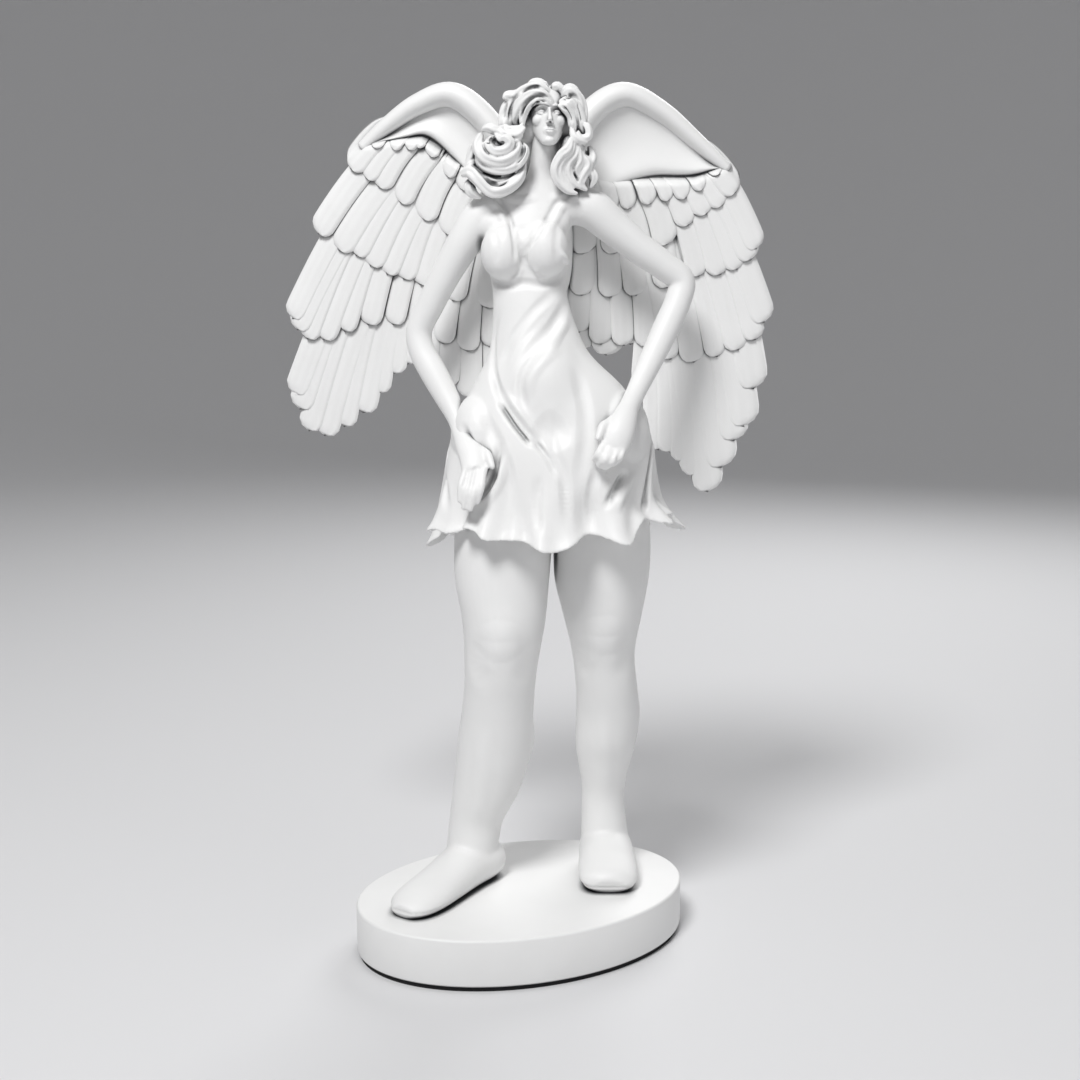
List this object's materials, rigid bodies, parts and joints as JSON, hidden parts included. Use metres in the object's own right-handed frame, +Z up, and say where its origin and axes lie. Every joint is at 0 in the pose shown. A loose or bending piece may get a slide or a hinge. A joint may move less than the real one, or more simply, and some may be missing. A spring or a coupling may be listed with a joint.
{
  "type": "angel figurine",
  "caption": "White resin figurine of a winged woman in a short draped dress, hands at her hips, standing on an oval plinth with a foam pad under it.",
  "frame": {"origin": "middle of the pad's underside, where the figurine stands", "axes": "+Z up, figure faces -Y, its left-hand side is at +X; the plinth's long axis is turned 24 degrees about Z from +X"},
  "size_m": [0.1717, 0.0918, 0.2998],
  "materials": {
    "resin": "satin white paint on cast filled resin",
    "foam": "matt black closed-cell foam",
    "rod_steel": "bright drawn steel wire"
  },
  "bodies": {
    "root": {"base_pad": "foam", "plinth": "resin", "dressed_body": "resin", "head": "resin", "hair_crown": "resin", "hair_back": "resin", "right_hair_curls": "resin", "left_hair_curls": "resin", "right_leg": "resin", "left_leg": "resin", "right_arm": "resin", "left_arm": "resin", "right_wing": "resin", "left_wing": "resin", "neck_dowel": "rod_steel", "right_leg_rod": "rod_steel", "left_leg_rod": "rod_steel", "right_arm_dowel": "rod_steel", "left_arm_dowel": "rod_steel", "right_wing_dowel_1": "rod_steel", "right_wing_dowel_2": "rod_steel", "left_wing_dowel_1": "rod_steel", "left_wing_dowel_2": "rod_steel"}
  },
  "joints": []
}
